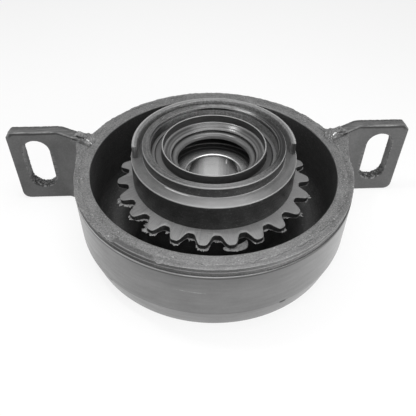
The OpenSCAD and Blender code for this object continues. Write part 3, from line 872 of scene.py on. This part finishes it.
def tooth_flap():
    """One large torn flap of flash in front, on a tooth's tip and beside the gap to its right."""
    headings = np.linspace(FLAP[0][0], FLAP[-1][0], 90)
    angles = np.radians(headings)
    at, far, near = np.array(FLAP).T
    wander = 0.2 * ring_noise(angles, 150, 26) + 0.15 * ring_noise(angles, 700, 27)
    outer = TOOTH_TIP_R + np.interp(headings, at, far) + wander
    inner = np.maximum(tooth_outline(angles) - 0.5, TOOTH_TIP_R + np.interp(headings, at, near))
    inner = np.minimum(inner, outer - 0.2)[:, None]
    width = outer[:, None] - inner
    sheet, fall = 0.3, 0.3
    section = ((0, sheet), (0.5, sheet), (0.94, sheet), (1, 0.5 * sheet), (0.97, 0), (0, 0))
    return swept(angles, [(inner + width * share, FLASH_Z + lift - fall * share) for share, lift in section])


def build_cushion():
    """The rubber moulding: its body, its lip, its teeth and its flash."""
    rubber = "cushion_rubber"
    piece("cushion_moulding", [skin(cushion_body())], rubber, stands_for=["rubber_cushion"])
    piece("half_moon_lip", [skin(half_moon_lip(), False), skin(collar_burr(), False)], rubber)
    piece("snubber_teeth", [skin(snubber_teeth())], rubber)
    piece("tooth_flash", [skin(tooth_flash()), skin(tooth_flap(), False)], rubber, crease=60)
    piece("rim_flash", [skin(rim_flash())], rubber, crease=60)


# Steel ring


def build_band():
    """Pressed ring: rolled top edge, straight wall, tapered lower wall and turned-in base."""
    edge = 0.5
    outside = (
        arc(BAND_R - edge, BAND_TOP - edge, edge, 90, 0, 4)
        + [(BAND_R, z) for z in np.linspace(BAND_TOP - 3, TAPER_Z + 1, 14)]
        + [(BAND_R - 0.04, TAPER_Z + 0.2), (BAND_R - 0.18, TAPER_Z - 0.8)]
        + arc(CORNER_AT, CORNER_Z, BASE_CORNER_R, -BAND_LEAN, -90, 10)
        + arc(BASE_IN_R + edge, BASE_Z + edge, edge, 270, 180, 3)
    )
    inside = (
        arc(BASE_IN_R + edge, BASE_Z + BAND_T - edge, edge, 180, 90, 3)
        + arc(CORNER_AT, CORNER_Z, BASE_CORNER_R - BAND_T, -90, -BAND_LEAN, 6)
        + [(BAND_IN_R, TAPER_Z), (BAND_IN_R, BAND_TOP - edge)]
        + arc(BAND_IN_R + edge, BAND_TOP - edge, edge, 180, 90, 3)
    )
    piece("outer_band_shell", [skin(lathe(outside + inside, 384))], "band_steel", stands_for=["outer_band"])


# Ears and welds


def ear_place(s, t):
    """Plan position on the right ear: s runs outward from the bend along its middle, t from front to back."""
    turn = np.clip(-s / BEND_MID_R, 0, BEND_ANGLE)
    extra = np.maximum(-s - BEND_RUN, 0)
    rho = BEND_R + t
    x = BEND_X - rho * np.sin(turn) - extra * math.cos(BEND_ANGLE) + np.maximum(s, 0)
    y = BEND_Y + rho * np.cos(turn) - extra * math.sin(BEND_ANGLE)
    return x, y


def band_radius(z):
    """Outer radius of the band at a height, above its rounded base."""
    return BAND_R - np.maximum(TAPER_Z - z, 0) * BAND_SLOPE


def leg_length():
    """Distance along the ear's middle from the bend to just inside the band."""
    x, y = ear_place(-BEND_RUN, EAR_T / 2)
    sunk = BAND_R - 0.6
    b = x * math.cos(BEND_ANGLE) + y * math.sin(BEND_ANGLE)
    return b - math.sqrt(b * b - x * x - y * y + sunk * sunk) + BEND_RUN


def ear_lines():
    """Lines from the slot to the ear's edge, all the way round: both ends, direction and length."""
    low_s, high_s = -leg_length(), EAR_END - BEND_X
    corners = [(low_s, EAR_LOW), (high_s, EAR_LOW), (high_s, EAR_TOP - EAR_BEVEL),
               (high_s - EAR_BEVEL, EAR_TOP), (low_s, EAR_TOP)]
    outer = np.array(resampled(rounded(corners, [7, 5, 0.8, 0.8, 0.2], 8), 0.4))
    outer[:, 0] -= (BAND_R - band_radius(outer[:, 1])) * step_up(0, low_s, outer[:, 0])
    slot = np.array([SLOT_X - BEND_X, SLOT_Z])
    away = outer - slot
    heading = away / np.linalg.norm(away, axis=1)[:, None]
    half_w, half_l = SLOT_W / 2, (SLOT_L - SLOT_W) / 2
    across, upright = np.abs(heading).T
    side = half_w / np.maximum(across, 1e-6)
    end = upright * half_l + np.sqrt(np.maximum(half_w ** 2 - (half_l * across) ** 2, 0))
    inner = slot + heading * np.where(side * upright <= half_l, side, end)[:, None]
    along = outer - inner
    length = np.linalg.norm(along, axis=1)[:, None]
    return inner, outer, along / length, length


def ear_section(length):
    """Section of the ear from its slot to its edge and back: distance from the slot, depth and kind."""
    front, back = EAR_ROUND, EAR_BACK_ROUND
    wall = front + (EAR_T - front - back) * np.linspace(0, 1, 12)[1:-1]
    return (
        [(x, y, "slot") for x, y in arc(front, front, front, 180, 270, 4)]
        + [(front + (length - 2 * front) * share, 0, "face") for share in (0.08, 0.25, 0.5, 0.65)]
        + [(length - inset, 0, "face") for inset in (2.2, 1.7, 0.8)]
        + [(length + x, y, "edge") for x, y in arc(-front, front, front, 270, 360, 4)]
        + [(length, depth, "edge") for depth in wall]
        + [(length + x, y, "edge") for x, y in arc(-back, EAR_T - back, back, 0, 90, 3)]
        + [(back + (length - 2 * back) * share, EAR_T, "face") for share in (0.85, 0.5, 0.15)]
        + [(x, y, "slot") for x, y in arc(back, EAR_T - back, back, 90, 180, 3)]
        + [(0, depth, "slot") for depth in wall[::-1]]
    )


def ear_rings(seed):
    """Sections of the right ear, all the way round its slot, and the marks that they carry."""
    inner, outer, along, length = ear_lines()
    lap = np.cumsum(np.linalg.norm(np.diff(outer, axis=0, prepend=outer[:1]), axis=1))[:, None]
    top_edge = step_up(EAR_TOP - 2.5, EAR_TOP - 0.5, outer[:, 1:])
    near_ring = step_up(-8, -leg_length(), outer[:, :1])
    slot_foot = step_up(SLOT_Z - 7, SLOT_Z - 14, inner[:, 1:])
    columns = []
    marks = {"across": [], "sheared": [], "rugged": [], "burr_shadow": []}
    for d, t, kind in ear_section(length):
        depth = t + 0 * length
        marks["across"].append(depth / EAR_T)
        marks["sheared"].append(0 * length + (kind != "face"))
        marks["rugged"].append(near_ring * top_edge if kind == "edge" else slot_foot * (kind == "slot"))
        marks["burr_shadow"].append(step_up(2.2, 1.7, length - d) * top_edge * (kind == "face" and t == 0))
        if kind == "edge":
            torn = step_up(0.3 * EAR_T, 0.45 * EAR_T, t)
            rough = 0.05 * field_noise(lap * 1.6, t * 0.4, seed)
            rough += 0.16 * torn * (field_noise(lap * 1.1, t * 1.3, seed + 1) - 0.5)
            lump = 0.1 * near_ring * top_edge * field_noise(lap * 0.7, t * 0.6, seed + 2)
            d = d + rough + lump
            burr = step_up(length - 1.2 * EAR_ROUND, length - 0.2 * EAR_ROUND, d)
            burr = burr * step_up(2.2 * EAR_ROUND, 0, t) * (0.7 + 0.5 * field_noise(lap * 0.9, 0.5, seed + 3))
            depth = depth - 0.45 * top_edge * burr
        if kind == "slot":
            torn = step_up(0.25 * EAR_T, 0.5 * EAR_T, t)
            chip = field_noise(lap * 1.5, t * 0.9, seed + 4)
            d = d + (0.05 + 0.12 * torn) * chip + 0.5 * slot_foot * np.maximum(chip, -0.2)
        spot = inner + along * d
        x, y = ear_place(spot[:, 0], depth[:, 0])
        columns.append(np.stack([x, y, spot[:, 1]], -1))
    return np.stack(columns, 1), {key: np.hstack(values) for key, values in marks.items()}


def weld_rings(front, seed):
    """A lumpy fillet in the corner between the right ear and the band."""
    count = 110
    side = 1 if front else -1
    heights = np.linspace(EAR_LOW + 7, RIM_TOP - 2.5 if front else RIM_TOP + 0.3, count)
    x, y = ear_place(-leg_length(), 0 if front else EAR_T)
    heading = math.atan2(y, x)
    outward = heading_vector(heading)
    out = heading_vector(BEND_ANGLE)
    normal = np.array([out[1], -out[0]]) * side
    rows = []
    for k, z in enumerate(heights):
        radius = band_radius(z) if z < BAND_TOP else RIM_R - 0.5
        corner = radius * outward
        broad = step_up(BAND_TOP - 16.5, BAND_TOP + 0.5, z) * (not front)
        ends = 0.2 + 0.8 * step_up(0, 8, k) * (1 - 0.15 * step_up(count - 5, count - 1, k))
        lump = field_noise(k * 0.16, 0.5, seed) + 0.6 * field_noise(k * 0.5, 3.5, seed)
        ear_reach = (6 + 8 * broad + 0.5 * lump) * ends
        band_reach = (5 + broad + 0.5 * lump) * ends
        on_ear = corner + out * ear_reach - normal * 0.1
        on_band = (radius - 0.1) * heading_vector(heading - side * band_reach / radius)
        middle = corner + (on_ear + on_band - 2 * corner) * 0.28 + normal * 0.2 * lump
        row = []
        for t in np.linspace(0, 1, 15):
            knob = 0.5 * field_noise(t * 9 + 0.5, z * 0.3, seed + 1) * broad
            row.append((*bezier(on_ear, middle, on_band, t), z + knob))
        rows.append(row + [(*(corner - 1.2 * outward - normal), z)])
    return np.array(rows)


def rim_web(ear_s, band_heading, seed):
    """Rubber that fills the front corner between the rim and the right ear, level with the rim's top."""
    start = np.array(ear_place(ear_s, 0.3))
    far, near = math.radians(19), math.radians(band_heading)
    end = (RIM_R - 0.3) * heading_vector(near)
    rows = []
    for u in np.linspace(0, 1, 70):
        inner = (RIM_R - 2.2) * heading_vector(far + (near - far) * u)
        outer = start * (1 - u) + end * u
        out = outer / np.linalg.norm(outer)
        outer = outer + out * (0.25 * field_noise(u * 14, 0.5, seed) - 0.6 * math.sin(math.pi * u))
        width = np.linalg.norm(outer - inner)
        row = [(*inner, RIM_TOP - 0.3)]
        for away in np.linspace(0.5, width, 11):
            spot = inner + (outer - inner) * away / width
            lump = 0.15 * field_noise(u * 24, away, seed + 1)
            row.append((*spot, RIM_TOP + 0.15 - 0.3 * away / width + lump))
        for off, drop in ((0.4, 0.35), (0.85, 0.75), (1.15, 1.4), (1.2, 2.4), (0.9, 5)):
            row.append((*(outer + off * out), RIM_TOP - drop))
        rows.append(row + [(*inner, RIM_TOP - 5)])
    return np.array(rows)


def near_line(s, t, line):
    """1 near a short line on the leg's top, 0 away from it."""
    (s0, t0), (s1, t1), half = line
    run, climb = s1 - s0, t1 - t0
    share = np.clip(((s - s0) * run + (t - t0) * climb) / (run ** 2 + climb ** 2), 0, 1)
    return step_up(half, 0.4 * half, np.hypot(s - s0 - share * run, t - t0 - share * climb))


def leg_rubble(gap_line, flake_line, seed):
    """Rough lumps on the right leg's top where it meets the rim, with a gap painted black as shadow and a
    bright flake.
    """
    low, high = -29, -12.5
    s = np.linspace(low, high, 130)[:, None]
    middle = EAR_T / 2
    # Section across the leg: depth from its front, and drop from its top
    section = (
        [(-0.25, 3), (-0.35, 2.2), (-0.4, 1.5), (-0.35, 0.9), (-0.15, 0.35), (0.2, 0.05)]
        + [(t, 0) for t in np.linspace(0.5, 6.2, 22)]
        + [(6.5, 0.05), (6.85, 0.4), (7, 1), (7, 2), (6.6, 3)]
    )
    fade = step_up(low, low + 1.5, s) * step_up(high, high - 2, s)
    climb = (EAR_TOP + 0.9 - RIM_TOP) * step_up(low + 0.5, low + 6.5, s)
    base = RIM_TOP - 0.2 + climb - 1.1 * step_up(high - 2, high - 0.2, s)
    columns, gaps, flakes = [], [], []
    for at, drop in section:
        t = middle + (at - middle) * (0.93 + 0.07 * fade + 0.3 * step_up(low + 5.5, low + 1.5, s))
        gap = near_line(s, t, gap_line) * (drop < 1.2)
        ragged = step_up(-0.5, 0.1, field_noise(s * 1.3, at * 0.5, seed + 2))
        flake = near_line(s, t, flake_line) * (drop == 0) * ragged
        lump = 0.4 * field_noise(s * 0.8, at * 0.8, seed) + 0.4 * field_noise(s * 1.8, at * 1.8, seed + 1)
        z = base + lump * fade * (drop < 0.2) - drop - 1.2 * gap + 0.3 * flake
        columns.append(np.stack([*ear_place(s, t), z], -1))
        gaps.append(gap * (1 - flake))
        flakes.append(flake)
    return np.hstack(columns), {"gap": np.hstack(gaps), "flake": np.hstack(flakes)}


def build_ears():
    """Both ears, their welds, and the rubber and the rubble beside them."""
    beads = [weld_rings(True, 41), weld_rings(False, 43)]
    for side, flip, seed in (("right", None, 31), ("left", 0, 35)):
        rings, marks = ear_rings(seed)
        piece(side + "_ear_plate", [skin(rings, flip=flip)], "ear_steel", stands_for=[side + "_ear"],
              crease=50, marks=marks)
        piece(side + "_ear_bead", [skin(bead, False, flip) for bead in beads], "weld_steel",
              stands_for=[side + "_ear_weld"], crease=60)
        web = rim_web(*WEB_ENDS[side], seed + 20)
        piece(side + "_rim_web", [skin(web, False, flip)], "cushion_rubber", crease=60)
        rubble, marks = leg_rubble(LEG_GAP[side], LEG_FLAKE[side], seed + 30)
        piece(side + "_leg_rubble", [skin(rubble, False, flip)], "weld_steel", crease=60, marks=marks)


# Bearing and dust seals


def build_sleeve():
    """Steel sleeve with broken edges."""
    outer_r = SLEEVE_R - 0.02
    inner_r = SLEEVE_R - 2
    profile = rounded([(inner_r, sleeve_low.z), (outer_r, sleeve_low.z),
                       (outer_r, sleeve_high.z), (inner_r, sleeve_high.z)], 0.4)
    piece("sleeve_tube", [skin(lathe(profile, 192))], "sleeve_steel", stands_for=["bearing_sleeve"])


def seal_case_profile(case_r, rim_r, root_r):
    """Section of a pressed seal case: outer wall, flat shoulder and thin upright rim."""
    sheet = rim_r - root_r
    wall_r = case_r - sheet
    rim_sheet = 0.65
    shoulder = case_high.z - 6
    rim_top = case_high.z - 0.4
    return rounded([
        (wall_r, case_low.z), (case_r, case_low.z), (case_r, shoulder), (rim_r, shoulder),
        (root_r + rim_sheet, rim_top), (root_r, rim_top), (root_r, shoulder - sheet),
        (wall_r, shoulder - sheet)], [0.2, 0.2, 0.9, 0.5, 0.3, 0.3, 0.5, 0.3])


def seal_lip_points(root_r):
    """Section of the two rubber lips: radius, height, and how much painted highlight of a ridge or painted
    shade of a groove each point gets.
    """
    # Outer lip: steps inward and down from its root
    outer_lip = (
        (0, 0.5, 0, 0.3), (0.3, 0.55, 0.8, 0), (0.6, 0.75, 1, 0), (0.9, 1.05, 0.4, 0), (1.2, 1.3, 0, 0.6),
        (1.5, 1.45, 0, 0.8), (1.9, 1.7, 0, 0.5), (2.3, 1.95, 0.3, 0), (2.7, 2.25, 0.2, 0.1), (3, 2.5, 0, 0.4),
        (3.3, 2.65, 0.4, 0), (3.6, 2.85, 0.9, 0), (3.9, 3.1, 1, 0), (4.1, 3.4, 0.8, 0), (4.15, 3.7, 0, 0.6),
        (4, 4, 0, 1), (3.8, 4.4, 0, 1), (4, 4.55, 0, 1), (4.3, 4.4, 0, 0.7),
    )
    # Inner lip: a roll whose painted ridge highlight grows towards its edge, and the hidden way back
    roll = arc(root_r - 4.95, lip_high.z - 6.55, 2.4, 104, 186, 12)
    low = lip_low.z
    back = ((root_r - 7.2, low), (root_r - 1.3, low + 2.2), (root_r, low + 2.2))
    return np.array(
        [(root_r - step, lip_high.z - drop, ridge_highlight, groove) for step, drop, ridge_highlight, groove in outer_lip]
        + [(r, z, share, 0) for (r, z), share in zip(roll, np.linspace(0.3, 1, len(roll)))]
        + [(r, z, 0, 1) for r, z in back])


def build_dust_seals():
    """Upper and lower dust seals: a pressed case with an upright rim, and two rubber lips."""
    segments = 192
    sheet = 1
    case_r = case_high.x
    rim_r = case_r - 3.5
    root_r = rim_r - sheet
    case = lathe(seal_case_profile(case_r, rim_r, root_r), segments)
    points = seal_lip_points(root_r)
    lip = lathe(points[:, :2], segments)
    marks = {"ridge_highlight": np.tile(points[:, 2], segments), "groove": np.tile(points[:, 3], segments)}
    for side, flip in (("upper", None), ("lower", 2)):
        name = side + "_seal_case"
        piece(name + "_ring", [skin(case, flip=flip)], "seal_case_steel", stands_for=[name])
        name = side + "_seal_lip"
        piece(name + "_ring", [skin(lip, flip=flip)], "seal_rubber", stands_for=[name], marks=marks)


def build_bearing():
    """Inner race with its polished bore, and the two flat seals beside the balls."""
    bore_r, race_r, face = race_high.x - 5.12, race_high.x, race_high.z
    edge, chamfer = 0.6, 0.7
    groove_r = 4.94
    groove_at = race_r - 1.9 + groove_r
    dip = math.degrees(math.acos((groove_at - race_r) / groove_r))
    profile = (
        [(bore_r + chamfer, -face), (race_r - edge, -face), (race_r, edge - face)]
        + arc(groove_at, 0, groove_r, 180 + dip, 180 - dip, 14)
        + [(race_r, face - edge), (race_r - edge, face)]
        + arc(bore_r + chamfer, face - chamfer, chamfer, 90, 180, 5)
        + [(bore_r, z) for z in np.linspace(face - 2, 2 - face, 6)]
        + arc(bore_r + chamfer, chamfer - face, chamfer, 180, 255, 4)
    )
    race = [skin(lathe(profile, 256))]
    piece("inner_race_ring", race, "race_steel", "inner_race", ["bearing_inner_race"], crease=25)
    inner, outer = race_r + 0.05, shield_high.x
    low, high = shield_low.z, shield_high.z
    shield = lathe(rounded([
        (inner, low + 0.3), (inner + 1.2, low), (outer, low), (outer, high), (inner + 3.2, high),
        (inner + 2.6, high - 0.35), (inner + 1.4, high - 0.35), (inner + 0.9, high), (inner, high - 0.3)],
        0.2), 192)
    for side, flip in (("upper", None), ("lower", 2)):
        name = side + "_bearing_seal"
        piece(name + "_ring", [skin(shield, flip=flip)], "shield_rubber", stands_for=[name])


def finish_cad_nodes():
    """Material for the CAD nodes that stay as they are: outer race, balls, cage and rivets."""
    slots = {"bearing_outer_race": "oiled_steel", "cage_rivets": "cage_steel",
             "upper_cage_half": "cage_steel", "lower_cage_half": "cage_steel"}
    for name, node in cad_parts.items():
        finish = "ball_steel" if name.startswith("ball_") else slots.get(name)
        if finish:
            node.data.materials.clear()
            node.data.materials.append(FINISHES[finish])
            node.data.shade_smooth()


# Studio


def emptied(owner):
    """Node tree of a material or a world, with nothing in it yet."""
    owner.use_nodes = True
    owner.node_tree.nodes.clear()
    return Nodes(owner.node_tree)


def white_share(nodes):
    """1 for rays from the camera, from gloss and through glass, which see the background as white."""
    camera, gloss, glass = (nodes.add("LightPath", output=f"Is {kind} Ray")
                            for kind in ("Camera", "Glossy", "Transmission"))
    return nodes.add("Math", {0: camera + gloss, 1: glass}, operation="ADD", use_clamp=True)


def build_floor():
    """Pale floor that the camera sees as nearly white, with the part's soft shadow on it."""
    size = 3000 * MM
    height = cad_bounds[0].z
    mesh = bpy.data.meshes.new("floor")
    corners = [(-size, -size, height), (size, -size, height), (size, size, height), (-size, size, height)]
    mesh.from_pydata(corners, [], [(0, 1, 2, 3)])
    made = link_object("floor", mesh)
    paint = bpy.data.materials.new("floor")
    nodes = emptied(paint)
    matt = nodes.add("BsdfDiffuse", {"Color": grey(0.85)})
    glow = nodes.add("Emission", {"Color": grey(1), "Strength": 1})
    mixed = nodes.add("MixShader", {"Fac": white_share(nodes) * 0.8, 1: matt, 2: glow})
    nodes.add("OutputMaterial", {"Surface": mixed})
    mesh.materials.append(paint)


def build_world():
    """White to the camera and to gloss, dimmer as a light."""
    world = bpy.data.worlds.new("studio")
    bpy.context.scene.world = world
    nodes = emptied(world)
    fill, white = (nodes.add("Background", {"Color": grey(1), "Strength": power}) for power in (0.08, 1))
    mixed = nodes.add("MixShader", {"Fac": white_share(nodes), 1: fill, 2: white})
    nodes.add("OutputWorld", {"Surface": mixed})


# Rectangular lamps, all aimed at the origin: place and size in millimetres, power in watts
LAMPS = {
    "top_box": ((30, 20, 480), (360, 260), 1.6),
    "left_spot": ((-150, 20, 420), (45, 45), 0.55),
    "right_box": ((360, -380, 200), (300, 250), 2.0),
    "front_box": ((0, -420, 420), (400, 250), 1.1),
    "left_box": ((-460, 0, 180), (300, 250), 0.5),
}


def build_lights():
    """Soft area lamps above and around the part."""
    for name, (at, size, power) in LAMPS.items():
        lamp = bpy.data.lights.new(name, "AREA")
        lamp.shape = "RECTANGLE"
        lamp.size, lamp.size_y = size[0] * MM, size[1] * MM
        lamp.energy = power
        made = link_object(name, lamp)
        made.location = Vector(at) * MM
        made.rotation_euler = (-Vector(at)).to_track_quat("-Z", "Y").to_euler()


def build_camera():
    """Camera of the photograph's frame."""
    lens = bpy.data.cameras.new("camera")
    lens.sensor_width = SENSOR_W
    lens.lens = FOCAL_PX / FRAME_PX * SENSOR_W
    lens.clip_start = 0.01
    made = link_object("camera", lens)
    made.matrix_world = Matrix.Translation(Vector(CAMERA_AT) * MM)
    for angle, axis in ((-CAMERA_YAW, "Z"), (90 - CAMERA_PITCH, "X"), (CAMERA_ROLL, "Z")):
        made.matrix_world @= Matrix.Rotation(math.radians(angle), 4, axis)
    bpy.context.scene.camera = made


build_cushion()
build_band()
build_ears()
build_sleeve()
build_dust_seals()
build_bearing()
finish_cad_nodes()
build_floor()
build_world()
build_lights()
build_camera()
bpy.context.scene.view_settings.view_transform = "Standard"
